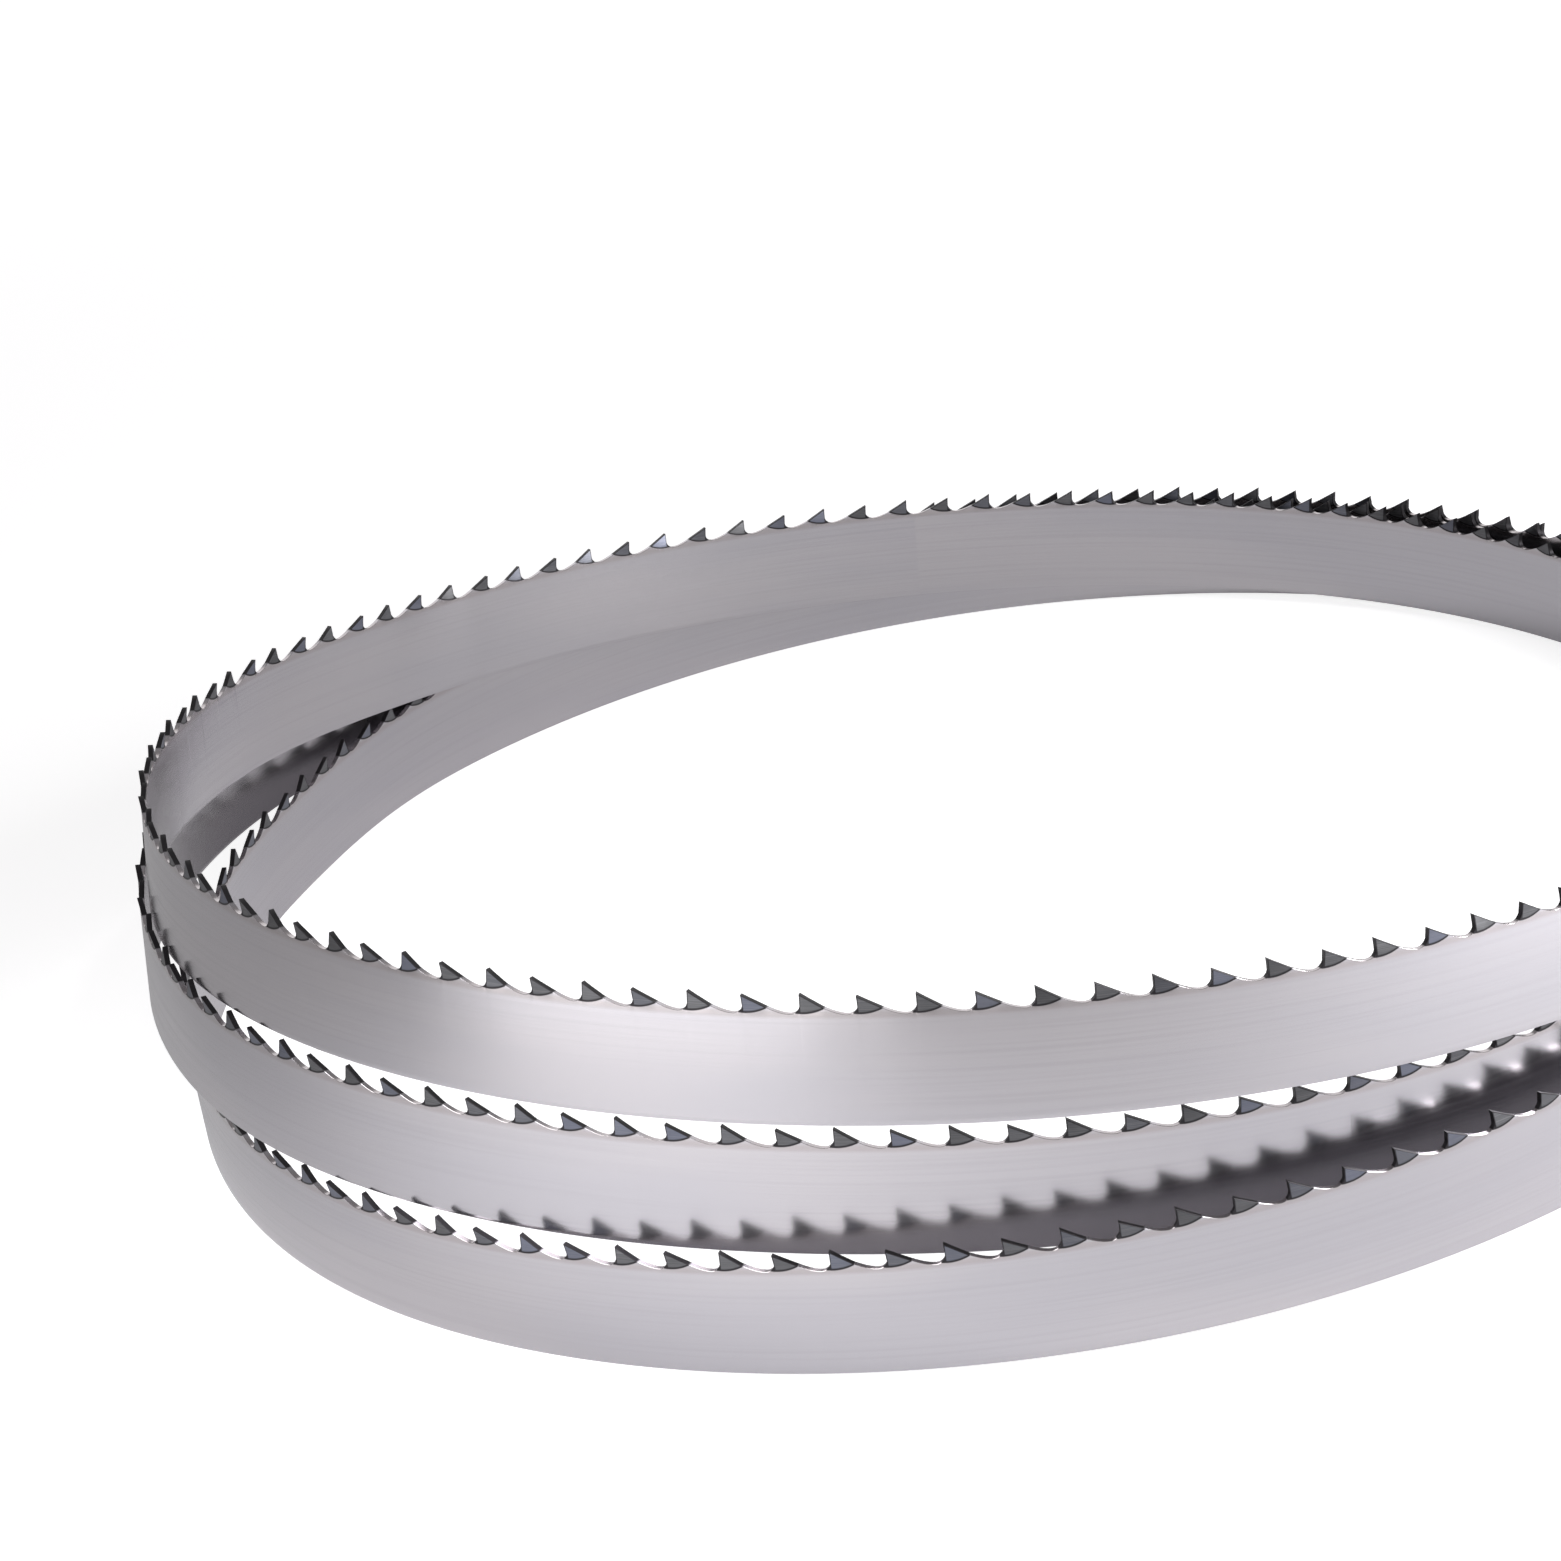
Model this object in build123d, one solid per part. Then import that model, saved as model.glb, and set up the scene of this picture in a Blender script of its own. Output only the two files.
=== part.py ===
"""Endless band saw blade folded into a coil of three loops, teeth up."""
import math
import os
from bisect import bisect

from build123d import *

# Flat band
BAND_LENGTH = 2844.8
BAND_WIDTH = 20.0
BAND_THICKNESS = 0.9

# Hook teeth, one for each flat facet of the band
TOOTH_COUNT = 336
TOOTH_HEIGHT = 2.9
HOOK_ANGLE = 5.0
ROOT_RADIUS = 1.5
BACK_LENGTH = 3.45
BACK_ANGLE = 28.0
BELLY_LENGTH = 1.95
BELLY_ANGLE = 23.0
SET_OFFSET = 0.4

# Coil, with angles in degrees counter-clockwise from the rear as seen from above
LOOP_COUNT = 3
FIRST_GULLET_ANGLE = -0.4
OVAL_SHARE = 0.0425
OVAL_ANGLE = 2.5
TRACK_SPACING = 3.5
TOP_LIFT = 41.5
TOP_HIGH_ANGLE = 137.0
TOP_REACH = 218.0
MIDDLE_LIFT = 20.9
MIDDLE_HIGH_ANGLE = 118.0
MIDDLE_REACH = 212.0
REAR_CROSSING = 51.0
REAR_CROSSING_ARC = 28.0
LOWER_CROSSING = 107.0
LOWER_CROSSING_ARC = 84.0
MIDDLE_CROSSING = 145.0
MIDDLE_CROSSING_ARC = 72.0

FULL_TURN = 360.0 * LOOP_COUNT
SAMPLES = 5400


def smooth_step(value):
    """Rise from 0 to 1 with no kink at either end."""
    x = min(max(value, 0.0), 1.0)
    return x ** 3 * (10 - 15 * x + 6 * x * x)


def wrapped(angle, start):
    """Bring an angle along the band into the full coil that begins at start."""
    return (angle - start) % FULL_TURN + start


def swell(angle, high_angle, reach):
    """Go smoothly from 0 up to 1 at a loop's highest place and back to 0."""
    away = wrapped(angle - high_angle, -FULL_TURN / 2)
    if abs(away) >= reach:
        return 0.0
    return (1 + math.cos(math.pi * away / reach)) / 2


def bottom_height(angle):
    """Height of the back edge of the band over the floor."""
    top = TOP_LIFT * swell(angle, TOP_HIGH_ANGLE, TOP_REACH) ** 1.5
    middle = MIDDLE_LIFT * swell(angle - 720, MIDDLE_HIGH_ANGLE, MIDDLE_REACH) ** 2
    return top + middle


def passing(angle, centre, arc):
    """Share of a sideways move of the band that is done at this angle."""
    return smooth_step((angle - centre) / arc + 0.5)


def track(angle):
    """Place of the band across the coil, from 0 for the innermost to 2."""
    place = wrapped(angle, 0)
    first = passing(place, REAR_CROSSING, REAR_CROSSING_ARC)
    second = passing(place, 360 + REAR_CROSSING, REAR_CROSSING_ARC)
    outward = passing(place, 360 + LOWER_CROSSING, LOWER_CROSSING_ARC)
    inward = passing(place, 720 + MIDDLE_CROSSING, MIDDLE_CROSSING_ARC)
    return first - second + 2 * outward - 2 * inward


def edge_point(angle, radius):
    """Point of the back edge of the band, midway through its thickness."""
    oval = math.cos(math.radians(2 * (angle - OVAL_ANGLE)))
    reach = radius * (1 + OVAL_SHARE * oval) + TRACK_SPACING * (track(angle) - 1)
    around = math.radians(angle)
    return Vector(-reach * math.sin(around), reach * math.cos(around), bottom_height(angle))


def spaced_points(radius):
    """Points at equal steps along the back edge, and the length of that edge."""
    step = FULL_TURN / SAMPLES
    samples = [edge_point(FIRST_GULLET_ANGLE + step * i, radius) for i in range(SAMPLES + 1)]
    reached = [0.0]
    for one, other in zip(samples, samples[1:]):
        reached.append(reached[-1] + (other - one).length)
    points = []
    for i in range(TOOTH_COUNT):
        wanted = reached[-1] * i / TOOTH_COUNT
        k = bisect(reached, wanted) - 1
        part = (wanted - reached[k]) / (reached[k + 1] - reached[k])
        points.append(edge_point(FIRST_GULLET_ANGLE + step * (k + part), radius))
    return points, reached[-1]


def mean_radius():
    """Radius that makes the back edge as long as the band."""
    radius = BAND_LENGTH / (2 * math.pi * LOOP_COUNT)
    for _ in range(4):
        radius *= BAND_LENGTH / spaced_points(radius)[1]
    return radius


POINTS, EDGE_LENGTH = spaced_points(mean_radius())
CHORDS = [POINTS[(i + 1) % TOOTH_COUNT] - POINTS[i] for i in range(TOOTH_COUNT)]
BENDS = [CHORDS[i - 1].cross(CHORDS[i]).normalized() for i in range(TOOTH_COUNT)]
NORMALS = [
    (BENDS[i] + BENDS[(i + 1) % TOOTH_COUNT]).cross(CHORDS[i]).normalized()
    for i in range(TOOTH_COUNT)
]
CREASES = [NORMALS[i - 1].cross(NORMALS[i]).normalized() for i in range(TOOTH_COUNT)]
OFFSETS = [
    (NORMALS[i - 1] + NORMALS[i]) * (BAND_THICKNESS / 2 / (1 + NORMALS[i - 1].dot(NORMALS[i])))
    for i in range(TOOTH_COUNT)
]

FLOOR = BAND_WIDTH - TOOTH_HEIGHT
HOOK = math.radians(HOOK_ANGLE)
TIP_ALONG = ROOT_RADIUS / math.tan((math.pi / 2 - HOOK) / 2) - TOOTH_HEIGHT * math.tan(HOOK)


def root_place(angle):
    """Place on the root curve, which leaves the gullet floor at a bend line of the band."""
    return ROOT_RADIUS * math.cos(angle), FLOOR + ROOT_RADIUS * (1 + math.sin(angle))


def down_slope(place, length, degrees):
    """Place reached by going down the tooth back at a slope."""
    return place[0] + length, place[1] - length * math.tan(math.radians(degrees))


ROOT = root_place((HOOK - math.pi / 2) / 2)
RAKE = root_place(HOOK)
TIP = (TIP_ALONG, BAND_WIDTH)
FOOT = down_slope(TIP, BACK_LENGTH, BACK_ANGLE)
BELLY = down_slope(FOOT, BELLY_LENGTH, BELLY_ANGLE)


def above_set_line(place):
    """Measure of how far a place is above the line from root to foot, where the set begins."""
    run = (FOOT[0] - ROOT[0], FOOT[1] - ROOT[1])
    return run[0] * (place[1] - ROOT[1]) - run[1] * (place[0] - ROOT[0])


def facet_point(index, place, side, shift=0.0):
    """Point of a facet's face, with side -1 on the outside of the coil and 1 inside."""
    along = CHORDS[index].normalized()
    up = along.cross(NORMALS[index])
    through = NORMALS[index] * (side * BAND_THICKNESS / 2 + shift)
    return POINTS[index] + along * place[0] + up * place[1] + through


def crease_point(index, height, side):
    """Point of the bend line that a facet shares with the one before it."""
    index %= TOOTH_COUNT
    return POINTS[index] + OFFSETS[index] * side + CREASES[index] * height


def polygon(points):
    """Flat face with straight edges."""
    return Face(Wire.make_polygon(points, close=True))


def bridge(one, other):
    """Straight-ruled face between two edges given by their ends."""
    return Face.make_surface_from_curves(Edge.make_line(*one), Edge.make_line(*other))


def tooth_faces(index):
    """Faces of one facet of the band and its tooth, without the back edge."""
    bent = SET_OFFSET if index % 2 else -SET_OFFSET
    rake_bent = bent * above_set_line(RAKE) / above_set_line(TIP)
    faces = []
    rims = []
    for side in (-1, 1):
        start = crease_point(index, FLOOR, side)
        end = crease_point(index + 1, FLOOR, side)
        root = facet_point(index, ROOT, side)
        rake = facet_point(index, RAKE, side, rake_bent)
        tip = facet_point(index, TIP, side, bent)
        foot = facet_point(index, FOOT, side)
        belly = facet_point(index, BELLY, side)
        low = [crease_point(index + 1, 0, side), crease_point(index, 0, side)]
        faces.append(polygon([start, root, foot, belly, end] + low))
        faces.append(polygon([root, rake, tip, foot]))
        rims.append([start, root, rake, tip, foot, belly, end])
    for near, far in zip(*[list(zip(rim, rim[1:])) for rim in rims]):
        faces.append(bridge(near, far))
    return faces


def rests_on_floor(index):
    """Whether a facet and its neighbours all stand on the floor."""
    return all(abs(POINTS[(index + k) % TOOTH_COUNT].Z) < 1e-9 for k in range(-2, 4))


def back_edge_faces():
    """Faces of the back edge, with one flat face where the band stands on the floor."""
    flat = [i for i in range(TOOTH_COUNT) if rests_on_floor(i)]
    faces = []
    for i in range(TOOTH_COUNT):
        if i not in flat:
            one = (crease_point(i, 0, -1), crease_point(i + 1, 0, -1))
            other = (crease_point(i, 0, 1), crease_point(i + 1, 0, 1))
            faces.append(bridge(one, other))
    row = range(flat[0], flat[-1] + 2)
    outer = [crease_point(i, 0, -1) for i in row]
    inner = [crease_point(i, 0, 1) for i in row]
    faces.append(polygon(outer + inner[::-1]))
    return faces


def saw_band():
    """The whole band as one solid, centred over the floor."""
    faces = back_edge_faces()
    for i in range(TOOTH_COUNT):
        faces += tooth_faces(i)
    band = Solid(Shell(faces))
    middle = band.bounding_box().center()
    return band.moved(Location((-middle.X, -middle.Y, 0)))


os.makedirs("parts", exist_ok=True)
band = saw_band()
band.label = "saw_band"
export_step(band, "parts/saw_band.step")
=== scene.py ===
"""Looks of an endless band saw blade folded into a coil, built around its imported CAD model."""

import logging
import math
from dataclasses import dataclass, field
from enum import Enum
from typing import Optional, Union

import bpy
import numpy as np
from mathutils import Matrix, Vector


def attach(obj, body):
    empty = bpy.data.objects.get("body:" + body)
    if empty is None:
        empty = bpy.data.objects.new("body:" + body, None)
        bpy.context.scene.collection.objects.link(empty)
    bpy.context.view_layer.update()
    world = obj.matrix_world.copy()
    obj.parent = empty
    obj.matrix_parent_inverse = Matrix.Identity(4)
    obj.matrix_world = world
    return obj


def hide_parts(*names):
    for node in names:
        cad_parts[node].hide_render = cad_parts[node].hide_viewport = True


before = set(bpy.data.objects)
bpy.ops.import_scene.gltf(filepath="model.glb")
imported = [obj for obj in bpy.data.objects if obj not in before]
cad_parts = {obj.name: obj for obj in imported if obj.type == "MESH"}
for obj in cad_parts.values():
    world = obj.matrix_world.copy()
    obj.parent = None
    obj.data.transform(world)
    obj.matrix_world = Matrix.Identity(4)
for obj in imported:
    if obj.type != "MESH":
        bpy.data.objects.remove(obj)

log = logging.getLogger("band_saw_blade")

Number = Union[int, float]
Colour = tuple[float, float, float, float]
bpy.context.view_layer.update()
WHITE: Colour = (1.0, 1.0, 1.0, 1.0)
MM_PER_M = 1000.0


class Axis(Enum):
    """The parts of a place on the band that a shader expression can read."""

    X = 0
    Y = 1


class Wire:
    """A node socket that turns Python arithmetic into Math nodes."""

    def __init__(self, shader: "Shader", socket: bpy.types.NodeSocket) -> None:
        """Wrap a socket of a shader's node tree.

        Args:
            shader: The shader whose tree the socket is in.
            socket: The output socket to wrap.
        """
        self.shader = shader
        self.socket = socket

    def _math(self, operation: str, *values: Union["Wire", Number]) -> "Wire":
        """Add one Math node that works on these values."""
        return self.shader.add("ShaderNodeMath", {"operation": operation}, dict(enumerate(values)))

    def __add__(self, other: Union["Wire", Number]) -> "Wire":
        """Sum."""
        return self._math("ADD", self, other)

    __radd__ = __add__

    def __sub__(self, other: Union["Wire", Number]) -> "Wire":
        """Difference."""
        return self._math("SUBTRACT", self, other)

    def __rsub__(self, other: Union["Wire", Number]) -> "Wire":
        """Difference from a plain number."""
        return self._math("SUBTRACT", other, self)

    def __mul__(self, other: Union["Wire", Number]) -> "Wire":
        """Product."""
        return self._math("MULTIPLY", self, other)

    __rmul__ = __mul__

    def __truediv__(self, other: Union["Wire", Number]) -> "Wire":
        """Quotient."""
        return self._math("DIVIDE", self, other)

    def __mod__(self, other: Union["Wire", Number]) -> "Wire":
        """Remainder that is never negative."""
        return self._math("FLOORED_MODULO", self, other)


class Shader:
    """A node tree that is written as expressions."""

    def __init__(self, tree: bpy.types.NodeTree) -> None:
        """Empty a node tree for writing.

        Args:
            tree: The node tree of a material or a world.
        """
        self.tree = tree
        tree.nodes.clear()

    def add(
        self,
        kind: str,
        settings: Optional[dict[str, object]] = None,
        inputs: Optional[dict[Union[str, int], object]] = None,
        output: Union[str, int] = 0,
    ) -> Wire:
        """Add any node.

        Args:
            kind: The node's type name.
            settings: Properties of the node, set first.
            inputs: Values or wires for its input sockets, by name or number.
            output: The output socket to return.

        Returns:
            The wrapped output socket.
        """
        node = self.tree.nodes.new(kind)
        for name, value in (settings or {}).items():
            setattr(node, name, value)
        for key, value in (inputs or {}).items():
            socket = node.inputs[key]
            if isinstance(value, Wire):
                self.tree.links.new(value.socket, socket)
            else:
                socket.default_value = value
        return Wire(self, node.outputs[output] if node.outputs else None)

    def mask(self, value: Wire, low: Number, high: Number) -> Wire:
        """Go smoothly from 0 to 1 as a value goes from low to high.

        Args:
            value: The value to read.
            low: Where the mask is 0. It may be above high.
            high: Where the mask is 1.

        Returns:
            The mask.
        """
        return self.add(
            "ShaderNodeMapRange",
            {"interpolation_type": "SMOOTHSTEP"},
            {"Value": value, "From Min": low, "From Max": high},
        )

    def blend(self, share: Wire, first: object, second: object) -> Wire:
        """Mix two colours.

        Args:
            share: 0 for the first colour, 1 for the second.
            first: A colour or a wire.
            second: A colour or a wire.

        Returns:
            The mixed colour.
        """
        return self.add(
            "ShaderNodeMix", {"data_type": "RGBA"}, {0: share, 6: first, 7: second}, 2
        )

    def part(self, vector: Wire, axis: Axis) -> Wire:
        """Read one part of a vector."""
        return self.add("ShaderNodeSeparateXYZ", {}, {0: vector}, axis.value)


def smooth_step(value: np.ndarray) -> np.ndarray:
    """Rise from 0 to 1 as 10x^3 - 15x^4 + 6x^5, flat before 0 and after 1."""
    x = np.clip(value, 0.0, 1.0)
    return x**3 * (10 - 15 * x + 6 * x * x)


@dataclass(frozen=True)
class Coil:
    """The closed line that the band's back edge follows, in millimetres and degrees.

    Angles run anticlockwise from the rear as seen from above, and go on counting
    through all the loops.
    """

    length: float = 2844.8
    loops: int = 3
    first_gullet_angle: float = -0.4
    oval_share: float = 0.0425
    oval_angle: float = 2.5
    track_spacing: float = 3.5
    top_lift: float = 41.5
    top_high_angle: float = 137.0
    top_reach: float = 218.0
    middle_lift: float = 20.9
    middle_high_angle: float = 118.0
    middle_reach: float = 212.0
    rear_crossing: float = 51.0
    rear_crossing_arc: float = 28.0
    lower_crossing: float = 107.0
    lower_crossing_arc: float = 84.0
    middle_crossing: float = 145.0
    middle_crossing_arc: float = 72.0
    samples: int = 43201
    rounds: int = 5

    @property
    def turn(self) -> float:
        """Angle of the whole coil."""
        return 360.0 * self.loops

    def _swell(self, angle: np.ndarray, high_angle: float, reach: float) -> np.ndarray:
        """Raised cosine, 1 at the loop's highest place and 0 beyond its reach.

        Args:
            angle: Angles along the coil.
            high_angle: Where the swell is highest.
            reach: How far from there it is back to 0.

        Returns:
            The swell at each angle.
        """
        half = self.turn / 2
        away = (angle - high_angle + half) % self.turn - half
        return np.where(np.abs(away) < reach, (1 + np.cos(np.pi * away / reach)) / 2, 0.0)

    def height(self, angle: np.ndarray) -> np.ndarray:
        """Height of the back edge: one swell for the top loop and one for the middle loop.

        Args:
            angle: Angles along the coil.

        Returns:
            Millimetres over the floor: a lift times the swell's power of 1.5 for the top
            loop, and a lift times the swell's square for the middle loop.
        """
        top = self._swell(angle, self.top_high_angle, self.top_reach)
        middle = self._swell(angle - 720, self.middle_high_angle, self.middle_reach)
        return self.top_lift * top**1.5 + self.middle_lift * middle**2

    @staticmethod
    def _moved(place: np.ndarray, centre: float, arc: float) -> np.ndarray:
        """Share of a sideways move that is done: a smooth step of this arc round its centre."""
        return smooth_step((place - centre) / arc + 0.5)

    def track(self, angle: np.ndarray) -> np.ndarray:
        """Place across the coil: four smooth sideways moves, one at each crossing.

        Args:
            angle: Angles along the coil.

        Returns:
            The place at each angle, from 0 for the innermost to 2.
        """
        place = angle % self.turn
        return (
            self._moved(place, self.rear_crossing, self.rear_crossing_arc)
            - self._moved(place, 360 + self.rear_crossing, self.rear_crossing_arc)
            + 2 * self._moved(place, 360 + self.lower_crossing, self.lower_crossing_arc)
            - 2 * self._moved(place, 720 + self.middle_crossing, self.middle_crossing_arc)
        )

    def point(self, angle: np.ndarray, radius: float) -> np.ndarray:
        """Points of the line: a slightly oval circle, moved across by the track and up.

        Args:
            angle: Angles along the coil.
            radius: Mean radius of the circle.

        Returns:
            Points as (..., 3). The oval adds a share of the radius that goes as the
            cosine of twice the angle.
        """
        oval = np.cos(np.radians(2 * (angle - self.oval_angle)))
        across = self.track_spacing * (self.track(angle) - 1)
        reach = radius * (1 + self.oval_share * oval) + across
        around = np.radians(angle)
        return np.stack(
            [-reach * np.sin(around), reach * np.cos(around), self.height(angle)], axis=-1
        )

    def measured(self) -> tuple[float, np.ndarray, np.ndarray]:
        """Find the radius that gives the line its length.

        Returns:
            The radius, the sample angles, and the length reached at each of them.
        """
        angles = self.first_gullet_angle + np.linspace(0.0, self.turn, self.samples)
        radius = self.length / (2 * np.pi * self.loops)
        for _ in range(self.rounds):
            steps = np.linalg.norm(np.diff(self.point(angles, radius), axis=0), axis=1)
            radius *= self.length / steps.sum()
        steps = np.linalg.norm(np.diff(self.point(angles, radius), axis=0), axis=1)
        return radius, angles, np.concatenate([[0.0], np.cumsum(steps)])


@dataclass(frozen=True)
class HookTooth:
    """Outline of one tooth and its gullet, in millimetres."""

    count: int = 336
    height: float = 2.9
    hook_angle: float = 5.0
    root_radius: float = 1.5
    back_length: float = 3.45
    back_angle: float = 28.0
    belly_angle: float = 24.0
    tip_land: float = 0.06
    tip_wear: float = 0.01
    set_offset: float = 0.4
    set_limit: float = 1.2
    root_steps: int = 6
    belly_steps: int = 7
    back_shares: tuple[float, ...] = (0.35, 0.7, 1.0)

    def tip_along(self) -> float:
        """Find how far along the band the tip is from the gullet's lowest place.

        Returns:
            The run of the root arc less what the rake face leans back over its height.
        """
        hook = math.radians(self.hook_angle)
        reach = self.root_radius / math.tan((math.pi / 2 - hook) / 2)
        return reach - self.height * math.tan(hook)

    def root(self) -> tuple[float, float]:
        """Find the middle of the root arc, where the tooth's set begins.

        Returns:
            Its place as (along, above the gullet's floor).
        """
        middle = (math.radians(self.hook_angle) - math.pi / 2) / 2
        return self.root_radius * math.cos(middle), self.root_radius * (1 + math.sin(middle))

    def back_slope(self) -> float:
        """Fall of the tooth's back for each millimetre along."""
        return math.tan(math.radians(self.back_angle))

    def outline(self, pitch: float) -> np.ndarray:
        """Outline from one gullet's lowest place to the next, as (along, above the floor).

        A root arc rises to the straight rake face, a narrow land caps the tip, a straight
        back falls to the foot, and a cubic from there runs level into the next gullet.

        Args:
            pitch: Distance between teeth.

        Returns:
            An array of places, the last one left out because the next tooth starts there.
        """
        hook = math.radians(self.hook_angle)
        turn = np.linspace(-math.pi / 2, hook, self.root_steps)
        root = np.stack(
            [self.root_radius * np.cos(turn), self.root_radius * (1 + np.sin(turn))], axis=-1
        )
        tip = np.array([self.tip_along(), self.height - self.tip_wear])
        land = tip + [self.tip_land, 0.0]
        share = np.array(self.back_shares)[:, None]
        back = tip + share * np.array([self.back_length, -self.back_length * self.back_slope()])
        foot = back[-1]
        span = pitch - foot[0]
        fall = -math.tan(math.radians(self.belly_angle)) * span
        t = np.linspace(0, 1, self.belly_steps)[1:-1]
        along = foot[0] + span * t
        high = foot[1] * (2 * t**3 - 3 * t**2 + 1) + fall * (t**3 - 2 * t**2 + t)
        belly = np.stack([along, np.maximum(high, 0.0)], axis=-1)
        return np.concatenate([root, [tip, land], back, belly])

    def above_set_line(self, along: np.ndarray, high: np.ndarray) -> np.ndarray:
        """Read how much of the tooth's set a place has.

        It is 0 below a slanted line from the root to the foot of the back, and grows with
        the distance over that line to 1 at the tip.

        Args:
            along: Distances along the band from the gullet's lowest place.
            high: Heights over the gullet's floor.

        Returns:
            The share of the set at each place.
        """
        root = self.root()
        foot_high = self.height - self.back_length * self.back_slope()
        run = (self.tip_along() + self.back_length - root[0], foot_high - root[1])
        above = run[0] * (high - root[1]) - run[1] * (along - root[0])
        full = run[0] * (self.height - root[1]) - run[1] * (self.tip_along() - root[0])
        return np.clip(above / full, 0.0, self.set_limit)


@dataclass(frozen=True)
class DarkTooth:
    """Where a tooth is darkened, and where its rim of painted shade lies, in millimetres from its
    outline.

    Each limit is a pair: where its mask is 0 and where it is 1.
    """

    root_back: float = 0.25
    root_down: float = 0.35
    foot_on: float = 0.15
    foot_down: float = 0.25
    belly: float = 1.3
    border: tuple[float, float] = (-0.08, 0.08)
    front: tuple[float, float] = (-0.12, 0.02)
    end: tuple[float, float] = (0.35, -0.1)
    # Limits of the rim of painted shade: along the lower border, the rake face and the back.
    lower_rim: tuple[float, float] = (0.45, 0.2)
    rake_edge_shade: tuple[float, float] = (0.28, 0.12)
    back_edge_shade: tuple[float, float] = (0.20, 0.06)

    def read(
        self, sh: Shader, tooth: HookTooth, floor: float, local: Wire, up: Wire
    ) -> tuple[Wire, Wire]:
        """Read where the dark tooth is.

        Its lower border bellies down from the root to the foot, as a parabola hung on a
        straight line. The rim follows that border, the rake face and the back: it is near-black
        painted shade along the rake face and the back, and a darker line along the lower border.

        Args:
            sh: The shader to write in.
            tooth: The tooth outline.
            floor: Height of the gullets over the back edge.
            local: Millimetres along the band from the gullet's lowest place.
            up: Millimetres up from the back edge.

        Returns:
            The mask of the whole dark tooth and the mask of its rim of painted shade.
        """
        root_along, root_high = tooth.root()
        slope = tooth.back_slope()
        start = (root_along - self.root_back, floor + root_high - self.root_down)
        foot = (
            tooth.tip_along() + tooth.back_length + self.foot_on,
            floor + tooth.height - tooth.back_length * slope - self.foot_down,
        )
        share = (local - start[0]) / (foot[0] - start[0])
        line = start[1] + share * (foot[1] - start[1]) - self.belly * share * (1.0 - share)
        inside = sh.mask(up - line, *self.border)
        inside = inside * sh.mask(local, start[0] + self.front[0], start[0] + self.front[1])
        inside = inside * sh.mask(local, foot[0] + self.end[0], foot[0] + self.end[1])
        back = floor + tooth.height - (local - tooth.tip_along()) * slope
        # The rim: painted shade along the rake face and the back, and a darker line along the
        # lower border.
        lower_rim = sh.mask(up - line, *self.lower_rim)
        rake_edge_shade = sh.mask(local - tooth.tip_along(), *self.rake_edge_shade)
        back_edge_shade = sh.mask(back - up, *self.back_edge_shade)
        return inside, 1.0 - (1.0 - lower_rim) * (1.0 - rake_edge_shade) * (1.0 - back_edge_shade)


@dataclass(frozen=True)
class Grain:
    """A noise that is stretched along the band, with its own scale each way."""

    along: float
    up: float
    layer: float
    detail: float
    roughness: float = 0.5

    def read(self, sh: Shader, along: Wire, up: Wire) -> Wire:
        """Read the noise at a place of the band.

        Args:
            sh: The shader to write in.
            along: Millimetres along the band.
            up: Millimetres up from the back edge.

        Returns:
            The noise, from 0 to 1 round a middle of 0.5.
        """
        point = sh.add(
            "ShaderNodeCombineXYZ", {}, {0: along * self.along, 1: up * self.up, 2: self.layer}
        )
        noise = {"Vector": point, "Scale": 1.0, "Detail": self.detail, "Roughness": self.roughness}
        return sh.add("ShaderNodeTexNoise", {}, noise)


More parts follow.
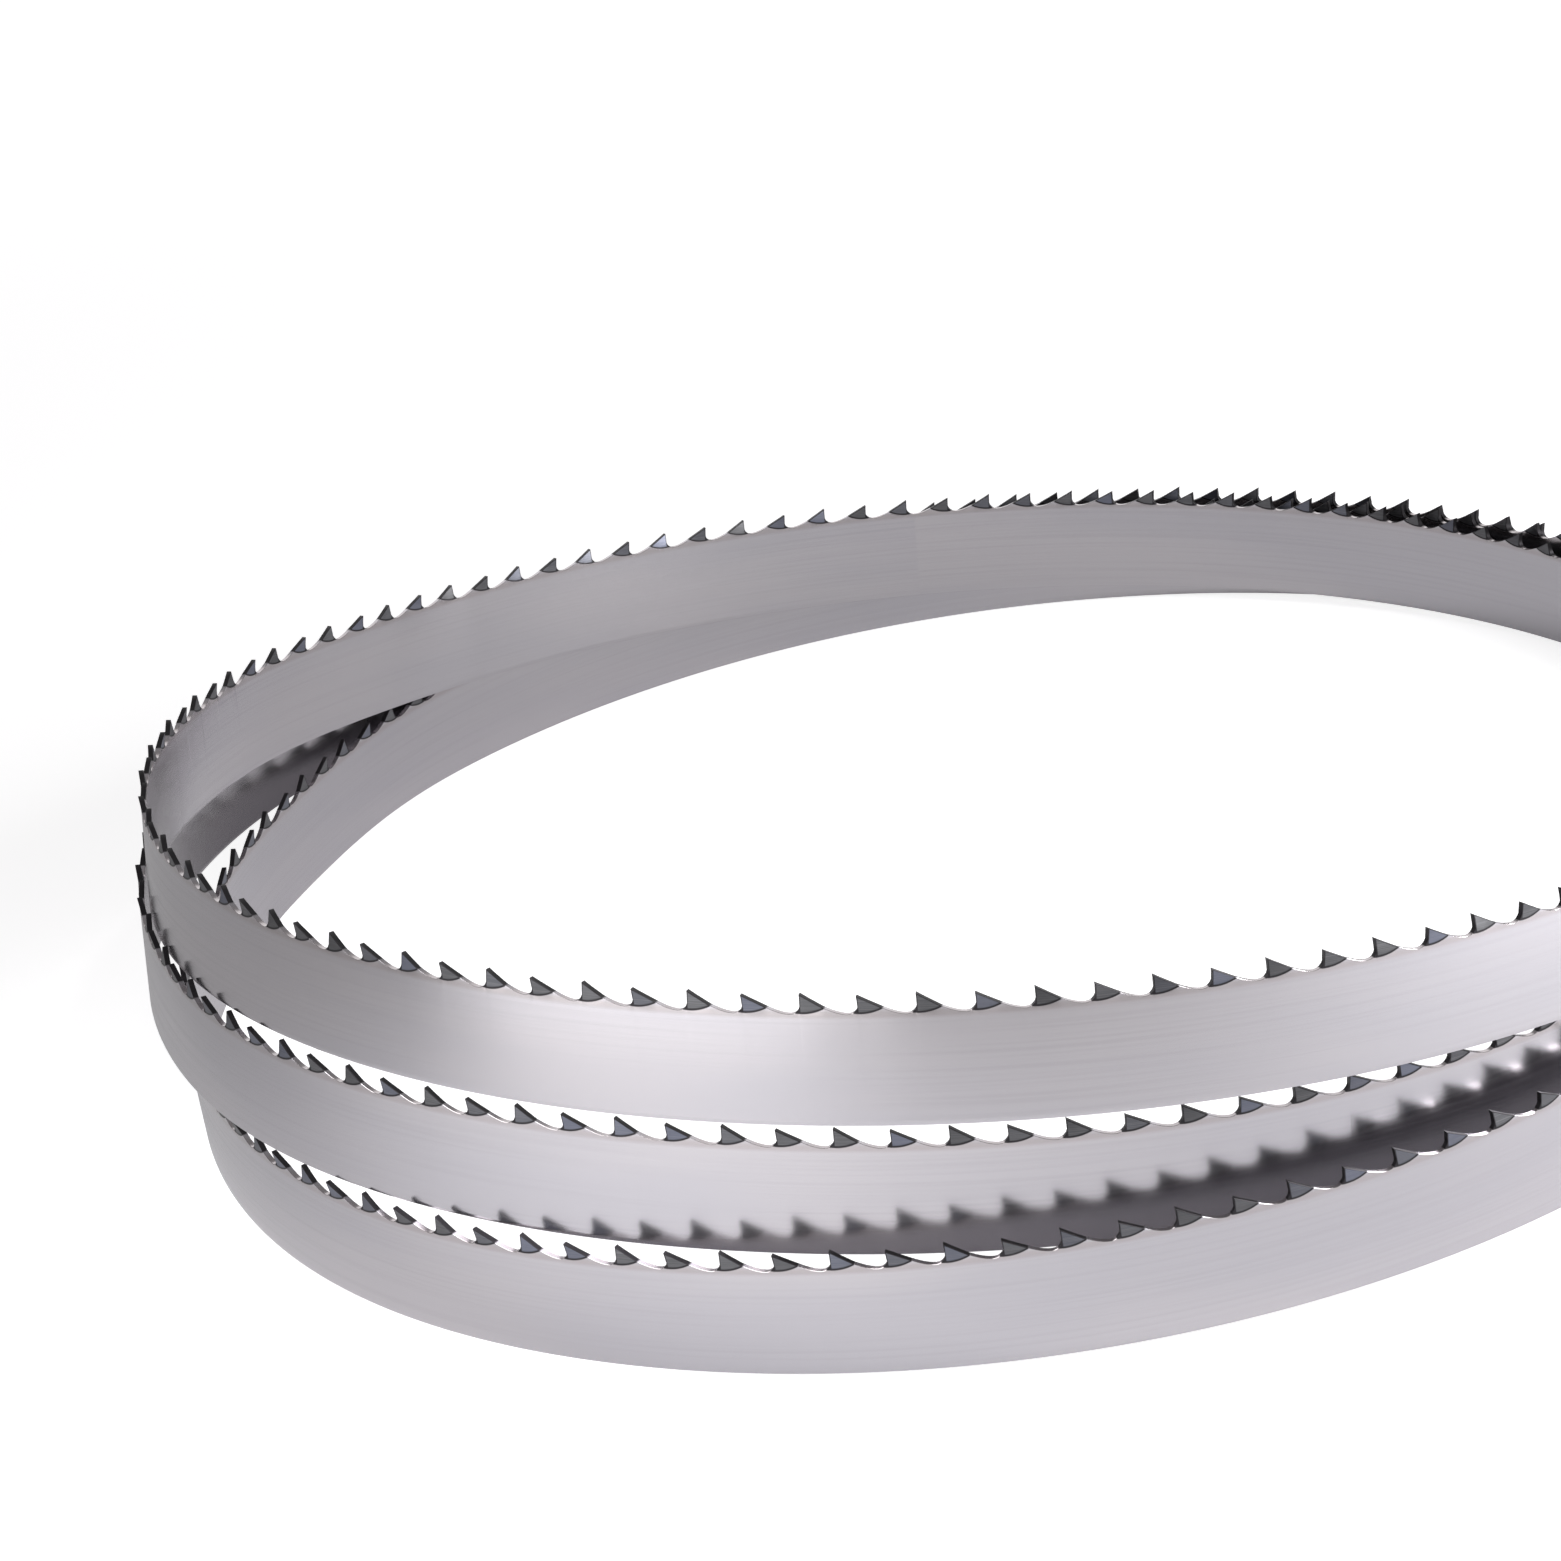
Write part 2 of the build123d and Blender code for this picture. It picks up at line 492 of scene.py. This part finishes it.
@dataclass(frozen=True)
class BandSteel:
    """Polished spring steel with darkened teeth."""

    slot: str = "steel"
    body_colour: Colour = (0.510, 0.488, 0.510, 1.0)
    cool_colour: Colour = (0.473, 0.458, 0.488, 1.0)
    streak_colour: Colour = (0.375, 0.367, 0.382, 1.0)
    stain_colour: Colour = (0.375, 0.330, 0.323, 1.0)
    tooth_colour: Colour = (0.112, 0.112, 0.118, 1.0)
    blue_tooth_colour: Colour = (0.150, 0.159, 0.203, 1.0)
    scratch_colour: Colour = (0.30, 0.30, 0.31, 1.0)
    # Near-black painted shade for the rim along the teeth's rake faces and backs, and along their
    # lower border.
    shaded_rim_colour: Colour = (0.038, 0.036, 0.039, 1.0)
    polish_lines: Grain = Grain(0.012, 1.7, 0.0, 3.0, 0.55)
    scratches: Grain = Grain(0.03, 14.0, 9.0, 2.0)
    clouds: Grain = Grain(0.012, 0.05, 4.0, 2.0)
    line_limits: tuple[float, float] = (0.42, 0.70)
    scratch_limits: tuple[float, float] = (0.45, 0.75)
    cloud_limits: tuple[float, float] = (0.35, 0.65)
    blue_limits: tuple[float, float] = (0.35, 1.0)
    stain_below: tuple[float, float] = (-0.9, -0.1)
    stain_above: tuple[float, float] = (0.9, 0.2)
    stain_share: float = 0.5
    streak_share: float = 0.14
    scratch_share: float = 0.4
    body_roughness: float = 0.2
    tooth_roughness: float = 0.42
    line_roughness: float = 0.04
    bump_strength: float = 0.03
    bump_height: float = 0.00002
    dark_tooth: DarkTooth = DarkTooth()

    def make(self, tooth: HookTooth, pitch: float, width: float) -> bpy.types.Material:
        """Write the material.

        The band's own map gives millimetres along the band and up from its back edge.

        Args:
            tooth: The tooth outline, for the dark zone's border.
            pitch: Distance between teeth.
            width: Width of the band over the tips.

        Returns:
            The finished material.
        """
        material = bpy.data.materials.new("polished_band_steel")
        material.use_nodes = True
        sh = Shader(material.node_tree)
        place = sh.add("ShaderNodeUVMap", {"uv_map": "band"})
        along = sh.part(place, Axis.X) * MM_PER_M
        up = sh.part(place, Axis.Y) * MM_PER_M
        floor = width - tooth.height
        dark, shaded_rim = self.dark_tooth.read(sh, tooth, floor, along % pitch, up)
        streak = sh.mask(self.polish_lines.read(sh, along, up), *self.line_limits)
        scratches = self.scratches.read(sh, along, up)
        cool = sh.mask(self.clouds.read(sh, along, up), *self.cloud_limits)
        body = sh.blend(cool, self.body_colour, self.cool_colour)
        stain = self._gullet_stain(sh, up - floor) * self.stain_share
        body = sh.blend(stain, body, self.stain_colour)
        body = sh.blend(streak * self.streak_share, body, self.streak_colour)
        heart = self._tooth_heart(sh, along / pitch, scratches)
        # The teeth's dark colour, inside a near-black rim of painted shade.
        colour = sh.blend(dark, body, sh.blend(shaded_rim, heart, self.shaded_rim_colour))
        rough = self.body_roughness + (streak + scratches - 0.5) * self.line_roughness
        rough = rough + dark * (self.tooth_roughness - self.body_roughness)
        bump = sh.add(
            "ShaderNodeBump",
            {},
            {"Strength": self.bump_strength, "Distance": self.bump_height, "Height": scratches},
        )
        steel = sh.add(
            "ShaderNodeBsdfPrincipled",
            {},
            {"Base Color": colour, "Metallic": 1.0, "Roughness": rough, "Normal": bump},
        )
        sh.add("ShaderNodeOutputMaterial", {}, {"Surface": steel})
        return material

    def _tooth_heart(self, sh: Shader, turns: Wire, scratches: Wire) -> Wire:
        """Colour of a tooth inside its rim of painted shade, scratched and on some teeth bluish.

        Args:
            sh: The shader to write in.
            turns: Distance along the band in teeth. Its whole part is the tooth's number,
                and a noise of that number says how blue the tooth is.
            scratches: The polishing marks.

        Returns:
            The colour.
        """
        number = sh.add("ShaderNodeMath", {"operation": "FLOOR"}, {0: turns})
        chance = sh.add("ShaderNodeTexWhiteNoise", {"noise_dimensions": "1D"}, {"W": number})
        blue = sh.mask(chance, *self.blue_limits)
        heart = sh.blend(blue, self.tooth_colour, self.blue_tooth_colour)
        marks = sh.mask(scratches, *self.scratch_limits) * self.scratch_share
        return sh.blend(marks, heart, self.scratch_colour)

    def _gullet_stain(self, sh: Shader, high: Wire) -> Wire:
        """Faint warm stripe along the gullets' floor, where the teeth were ground."""
        return sh.mask(high, *self.stain_below) * sh.mask(high, *self.stain_above)


@dataclass
class SawBand:
    """The coiled band with its teeth, as one closed surface."""

    node: str = "saw_band"
    body: str = "root"
    width: float = 20.0
    thickness: float = 0.9
    edge_round: float = 0.2
    tooth_chamfer: float = 0.05
    inset: float = 0.03
    coil: Coil = field(default_factory=Coil)
    tooth: HookTooth = field(default_factory=HookTooth)
    steel: BandSteel = field(default_factory=BandSteel)
    body_rows: tuple[float, ...] = (0.0, 0.03, 0.85, 0.885, 0.935, 1.0)
    lean_from: float = 0.8
    rake_columns: tuple[int, int] = (3, 8)
    rake_spacing: float = 0.15
    round_corner: float = 0.29
    angle_step: float = 0.05
    sharp_angle: float = 38.0

    @property
    def pitch(self) -> float:
        """Distance between teeth along the band."""
        return self.coil.length / self.tooth.count

    def build(self) -> bpy.types.Object:
        """Make the band's mesh, dress it and put it in the CAD node's place.

        Returns:
            The band.
        """
        ring, flat = self._surface()
        obj = self._mesh(ring, flat)
        obj.data.materials.append(self.steel.make(self.tooth, self.pitch, self.width))
        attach(obj, self.body)
        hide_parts(self.node)
        log.info("%s: %d faces", obj.name, len(obj.data.polygons))
        return obj

    def _section(self) -> tuple[np.ndarray, np.ndarray, np.ndarray]:
        """Places of the section's corners for one pitch of the band.

        Each column runs straight up the band to a place on the tooth outline. The five
        columns at the rake face stand apart below it and lean to it near the top.

        Returns:
            Arrays of (column, corner): along, up and through.
        """
        outline = self.tooth.outline(self.pitch)
        columns = len(outline)
        floor = self.width - self.tooth.height
        top = outline + [0.0, floor]
        wrapped = np.concatenate([top[-1:] - [self.pitch, 0], top, top[:1] + [self.pitch, 0]])
        tangent = wrapped[2:] - wrapped[:-2]
        tangent /= np.linalg.norm(tangent, axis=1, keepdims=True)
        inward = np.stack([tangent[:, 1], -tangent[:, 0]], axis=-1)
        shoulder = top + inward * self.tooth_chamfer
        base = top[:, 0].copy()
        first, last = self.rake_columns
        apart = np.arange(first, last) - (first + last - 1) / 2
        base[first:last] = self.tooth.tip_along() + self.rake_spacing * apart
        rows = np.array(self.body_rows)
        low = self.edge_round
        up = low + (shoulder[:, 1:] - low) * rows
        lean = smooth_step((rows - self.lean_from) / (1 - self.lean_from))
        along = base[:, None] + (shoulder[:, :1] - base[:, None]) * lean
        half = self.thickness / 2
        near = np.full_like(up, -half)
        small = self.edge_round * self.round_corner
        foot_up = np.array([small, 0.0, 0.0, small])
        foot_through = np.array([half - small, half - low, low - half, small - half])
        ones = np.ones((columns, 1))
        return (
            np.hstack([along, top[:, :1], top[:, :1], along[:, ::-1], base[:, None] * np.ones(4)]),
            np.hstack([up, top[:, 1:], top[:, 1:], up[:, ::-1], ones * foot_up]),
            np.hstack(
                [
                    near,
                    ones * (self.tooth_chamfer - half),
                    ones * (half - self.tooth_chamfer),
                    -near,
                    ones * foot_through,
                ]
            ),
        )

    def _surface(self) -> tuple[np.ndarray, np.ndarray]:
        """Carry the section along the coil.

        At each place the width runs along the line's binormal and the thickness along its
        principal normal, so the band bends only flatwise. It lies inside the line by the
        inset, because a smooth bend bulges past flat facets. Each tooth is pushed sideways,
        alternately inward and outward, by its height over the set line.

        Returns:
            Points in metres as (column, corner, 3), and the band map as (column, corner, 2).
        """
        along, up, through = self._section()
        teeth = np.arange(self.tooth.count)[:, None, None]
        floor = self.width - self.tooth.height
        bend = self.tooth.above_set_line(along, up - floor)
        bend = self.tooth.set_offset * np.where(teeth % 2 == 1, 1.0, -1.0) * bend
        distance = along + teeth * self.pitch
        shape = (self.tooth.count * along.shape[0], along.shape[1])
        distance = distance.reshape(shape)
        through = (through + bend + self.inset).reshape(shape)
        up = np.tile(up, (self.tooth.count, 1))
        radius, angles, reached = self.coil.measured()
        angle = np.interp(distance % self.coil.length, reached, angles)
        here = self.coil.point(angle, radius)
        after = self.coil.point(angle + self.angle_step, radius)
        before = self.coil.point(angle - self.angle_step, radius)
        ahead = after - before
        ahead /= np.linalg.norm(ahead, axis=-1, keepdims=True)
        wide = np.cross(ahead, after + before - 2 * here)
        wide /= np.linalg.norm(wide, axis=-1, keepdims=True)
        inside = np.cross(wide, ahead)
        points = here + wide * up[..., None] + inside * through[..., None]
        middle = (points.min(axis=(0, 1)) + points.max(axis=(0, 1))) / 2
        points[..., :2] -= middle[:2]
        return points / MM_PER_M, np.stack([distance, up], axis=-1) / MM_PER_M

    def _mesh(self, ring: np.ndarray, flat: np.ndarray) -> bpy.types.Object:
        """Join the columns into one closed surface with its band map.

        Args:
            ring: Points as (column, corner, 3).
            flat: Band map as (column, corner, 2).

        Returns:
            The new object, at the origin.
        """
        columns, corners = ring.shape[:2]
        column = np.arange(columns)[:, None]
        corner = np.arange(corners)[None, :]
        after = (column + 1) % columns
        beside = (corner + 1) % corners
        quads = np.stack(
            [
                column * corners + corner,
                after * corners + corner,
                after * corners + beside,
                column * corners + beside,
            ],
            axis=-1,
        ).reshape(-1, 4)
        mesh = bpy.data.meshes.new("coiled_saw_band")
        mesh.vertices.add(columns * corners)
        mesh.vertices.foreach_set("co", ring.astype(np.float32).ravel())
        mesh.loops.add(quads.size)
        mesh.loops.foreach_set("vertex_index", quads.astype(np.int32).ravel())
        mesh.polygons.add(len(quads))
        mesh.polygons.foreach_set("loop_start", np.arange(0, quads.size, 4, dtype=np.int32))
        mesh.polygons.foreach_set("use_smooth", np.ones(len(quads), dtype=bool))
        mesh.update(calc_edges=True)
        spread = flat.reshape(-1, 2)[quads].copy()
        last = (np.broadcast_to(after, (columns, corners)) == 0).reshape(-1)
        spread[last, 1:3, 0] += self.coil.length / MM_PER_M
        layer = mesh.uv_layers.new(name="band")
        layer.data.foreach_set("uv", spread.astype(np.float32).ravel())
        mesh.validate()
        mesh.set_sharp_from_angle(angle=math.radians(self.sharp_angle))
        obj = bpy.data.objects.new("coiled_saw_band", mesh)
        bpy.context.scene.collection.objects.link(obj)
        return obj


@dataclass(frozen=True)
class SoftPanel:
    """A soft light panel round the coil, in metres, degrees and watts.

    It stands at an azimuth and a distance from the coil's middle, and faces the place
    over the floor at the same azimuth and at its aim distance.
    """

    name: str
    azimuth: float
    distance: float
    lift: float
    wide: float
    high: float
    aim: float
    power: float
    aim_lift: float = 0.02

    def _place(self, distance: float, lift: float) -> Vector:
        """Point at the panel's azimuth, anticlockwise from the rear."""
        around = math.radians(self.azimuth)
        return Vector((-distance * math.sin(around), distance * math.cos(around), lift))

    def build(self) -> bpy.types.Object:
        """Hang the panel in its place.

        Returns:
            The lamp.
        """
        lamp = bpy.data.lights.new(self.name, "AREA")
        lamp.shape = "RECTANGLE"
        lamp.size = self.wide
        lamp.size_y = self.high
        lamp.energy = self.power
        obj = bpy.data.objects.new(self.name, lamp)
        place = self._place(self.distance, self.lift)
        turn = (self._place(self.aim, self.aim_lift) - place).to_track_quat("-Z", "Y")
        obj.matrix_world = Matrix.Translation(place) @ turn.to_matrix().to_4x4()
        bpy.context.scene.collection.objects.link(obj)
        log.info("light: %s", self.name)
        return obj


@dataclass
class Studio:
    """Plain floor, soft light and the camera."""

    panels: tuple[SoftPanel, ...] = (
        SoftPanel("right_panel", 245.0, 0.45, 0.20, 0.30, 0.30, 0.0, 4.2),
        SoftPanel("left_panel", 138.5, 0.36, 0.062, 0.36, 0.12, 0.0, 0.133),
        SoftPanel("left_panel_middle", 138.5, 0.355, 0.062, 0.24, 0.12, 0.0, 0.060),
        SoftPanel("left_floor_panel", 145.0, 0.24, 0.14, 0.20, 0.10, 0.239, 0.315),
        SoftPanel("rear_panel", 0.0, 1.20, 0.50, 1.60, 0.80, 0.0, 3.8),
    )
    floor_half: float = 3.0
    floor_drop: float = 0.0005
    floor_colour: Colour = (0.62, 0.62, 0.63, 1.0)
    world_colour: Colour = (0.060, 0.052, 0.055, 1.0)
    floor_glow: float = 0.8
    gloss_share: float = 0.27
    camera_distance: float = 0.84104
    camera_elevation: float = 21.661
    camera_roll: float = -9.991
    focal_pixels: float = 4771.3
    image_pixels: float = 1561.0
    sensor_width: float = 36.0
    aim_right: float = -0.03381
    aim_up: float = 0.03012
    coil_shift: tuple[float, float, float] = (-0.00021, -0.00034, 0.0)

    def build(self) -> None:
        """Make the floor, the lights, the world and the camera."""
        self._floor()
        self._world()
        self._lights()
        self._camera()

    def _rays(self, sh: Shader) -> tuple[Wire, Wire]:
        """Tell which rays look at the white background.

        Args:
            sh: The shader to add the nodes to.

        Returns:
            A mask of the rays that see it plainly, from the camera or through glass, and
            a mask of the rays off a glossy surface.
        """
        names = ("Is Camera Ray", "Is Transmission Ray", "Is Glossy Ray")
        camera, through, gloss = [sh.add("ShaderNodeLightPath", {}, {}, name) for name in names]
        return sh.add("ShaderNodeMath", {"operation": "MAXIMUM"}, {0: camera, 1: through}), gloss

    def _floor(self) -> None:
        """Make a plain pale floor that the camera sees as white where it is lit."""
        half = self.floor_half
        square = np.array([[-1, -1, 0], [1, -1, 0], [1, 1, 0], [-1, 1, 0]])
        corners = square * half - [0.0, 0.0, self.floor_drop]
        mesh = bpy.data.meshes.new("studio_floor")
        mesh.from_pydata(corners.tolist(), [], [(0, 1, 2, 3)])
        material = bpy.data.materials.new("pale_floor")
        material.use_nodes = True
        sh = Shader(material.node_tree)
        plain, gloss = self._rays(sh)
        matte = sh.add("ShaderNodeBsdfDiffuse", {}, {"Color": self.floor_colour})
        glow = plain * self.floor_glow + gloss * self.gloss_share
        white = sh.add("ShaderNodeEmission", {}, {"Color": WHITE, "Strength": glow})
        surface = sh.add("ShaderNodeAddShader", {}, {0: matte, 1: white})
        sh.add("ShaderNodeOutputMaterial", {}, {"Surface": surface})
        mesh.materials.append(material)
        floor = bpy.data.objects.new("studio_floor", mesh)
        bpy.context.scene.collection.objects.link(floor)
        log.info("floor: %.1f m across", 2 * half)

    def _world(self) -> None:
        """Set a soft grey surround that the camera sees as white."""
        world = bpy.data.worlds.new("studio")
        bpy.context.scene.world = world
        world.use_nodes = True
        sh = Shader(world.node_tree)
        plain, gloss = self._rays(sh)
        share = plain + gloss * self.gloss_share
        colour = sh.blend(share, self.world_colour, WHITE)
        back = sh.add("ShaderNodeBackground", {}, {"Color": colour, "Strength": 1.0})
        sh.add("ShaderNodeOutputWorld", {}, {"Surface": back})
        log.info("world: soft grey, white behind the object")

    def _lights(self) -> None:
        """Stand the soft panels round the coil."""
        for panel in self.panels:
            panel.build()

    def _camera(self) -> None:
        """Aim the camera from the front and above, turned a little about its own axis."""
        rise = math.radians(self.camera_elevation)
        roll = math.radians(self.camera_roll)
        away = Vector((0.0, -math.cos(rise), math.sin(rise)))
        upward = Vector((0.0, math.sin(rise), math.cos(rise)))
        right = Vector((1.0, 0.0, 0.0))
        aim = right * self.aim_right + upward * self.aim_up + Vector(self.coil_shift)
        place = aim + away * self.camera_distance
        turned_right = right * math.cos(roll) + upward * math.sin(roll)
        turned_up = upward * math.cos(roll) - right * math.sin(roll)
        turn = Matrix((turned_right, turned_up, away)).transposed().to_4x4()
        data = bpy.data.cameras.new("camera")
        data.sensor_fit = "HORIZONTAL"
        data.sensor_width = self.sensor_width
        data.lens = self.sensor_width * self.focal_pixels / self.image_pixels
        data.clip_start = 0.01
        data.clip_end = 20.0
        camera = bpy.data.objects.new("camera", data)
        camera.matrix_world = Matrix.Translation(place) @ turn
        bpy.context.scene.collection.objects.link(camera)
        bpy.context.scene.camera = camera
        log.info("camera: %.0f mm lens, %.2f m away", data.lens, self.camera_distance)


def main() -> None:
    """Build the band and the studio."""
    logging.basicConfig(level=logging.INFO, format="%(name)s: %(message)s")
    bpy.context.scene.view_settings.view_transform = "Standard"
    SawBand().build()
    Studio().build()
    bpy.context.view_layer.update()


if __name__ == "__main__":
    main()
